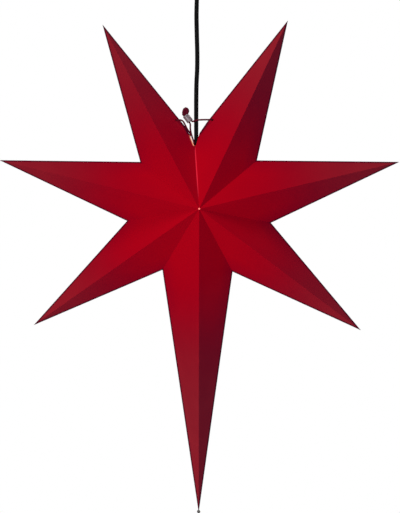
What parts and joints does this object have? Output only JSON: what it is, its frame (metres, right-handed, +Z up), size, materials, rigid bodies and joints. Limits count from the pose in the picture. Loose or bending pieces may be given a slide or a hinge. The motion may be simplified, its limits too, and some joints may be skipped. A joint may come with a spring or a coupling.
{
  "type": "paper star lantern",
  "caption": "Folded paper star pendant with a long bottom point, hung by its black mains cord from a small round ceiling rose, with a screw lamp inside.",
  "frame": {"origin": "middle of the ceiling rose's face against the ceiling", "axes": "+Z up, +X to the right and -Y towards the viewer of the star's front"},
  "size_m": [0.5696, 0.1596, 0.8128],
  "materials": {
    "red_paper": "matte",
    "red_string": "matte",
    "smoky_bead": "gloss",
    "bright_metal": "polished",
    "black_plastic": "satin",
    "black_rubber": "matte",
    "black_cord": "satin",
    "brown_core": "satin",
    "blue_core": "satin",
    "zinc_steel": "satin",
    "white_plastic": "satin",
    "brass": "satin",
    "ceramic": "matte",
    "nickel_cap": "satin",
    "black_glass": "gloss",
    "frosted_glass": "satin",
    "clear_glass": "gloss",
    "filament_wire": "satin"
  },
  "bodies": {
    "ceiling": {"ceiling_bracket": "zinc_steel", "canopy": "black_plastic", "canopy_screws": "zinc_steel", "cord_gland": "black_plastic", "gland_nut": "black_plastic", "gland_cap": "black_plastic", "canopy_lead": "black_cord", "live_core": "brown_core", "neutral_core": "blue_core", "terminal_block": "white_plastic", "terminal_sleeves": "brass", "terminal_screws": "zinc_steel", "block_screw": "zinc_steel"},
    "cord_collar": {"gland_bush": "black_rubber"},
    "lantern": {"pendant_cord": "black_cord", "holder_cap": "black_plastic", "grip_screw": "black_plastic", "holder_sleeve": "black_plastic", "holder_core": "ceramic", "holder_screws": "brass", "holder_wires": "blue_core", "thread_shell": "brass", "centre_contact": "brass", "point_upper_right": "red_paper", "point_right": "red_paper", "point_lower_right": "red_paper", "point_bottom": "red_paper", "point_lower_left": "red_paper", "point_left": "red_paper", "point_upper_left": "red_paper", "tie_string": "red_string", "tie_bead": "smoky_bead", "tip_bead": "bright_metal"},
    "bulb_tip": {"bulb_contact": "zinc_steel", "bulb_insulator": "black_glass"},
    "bulb": {"bulb_cap": "nickel_cap", "bulb_globe": "frosted_glass", "bulb_stem": "clear_glass", "bulb_filament": "filament_wire"}
  },
  "joints": [
    {"name": "cord_turn", "type": "hinge", "parent": "ceiling", "child": "cord_collar", "pos_m": [0, 0, -0.04613], "axis": [0, 0, 1], "range_deg": [-180, 180]},
    {"name": "cord_swing", "type": "hinge", "parent": "cord_collar", "child": "lantern", "pos_m": [0, 0, -0.04613], "axis": [0, 1, 0], "range_deg": [-25, 25]},
    {"name": "bulb_travel", "type": "slide", "parent": "lantern", "child": "bulb_tip", "axis": [0, 0, -1], "range_m": [0, 0.0085]},
    {"name": "bulb_turn", "type": "hinge", "parent": "bulb_tip", "child": "bulb", "pos_m": [-0.00218, 0, -0.38], "axis": [0, 0, -1], "range_deg": [0, 1080]}
  ],
  "couplings": [
    {"joint": "bulb_travel", "follows": "bulb_turn", "m_per_rad": 0.00044882}
  ]
}
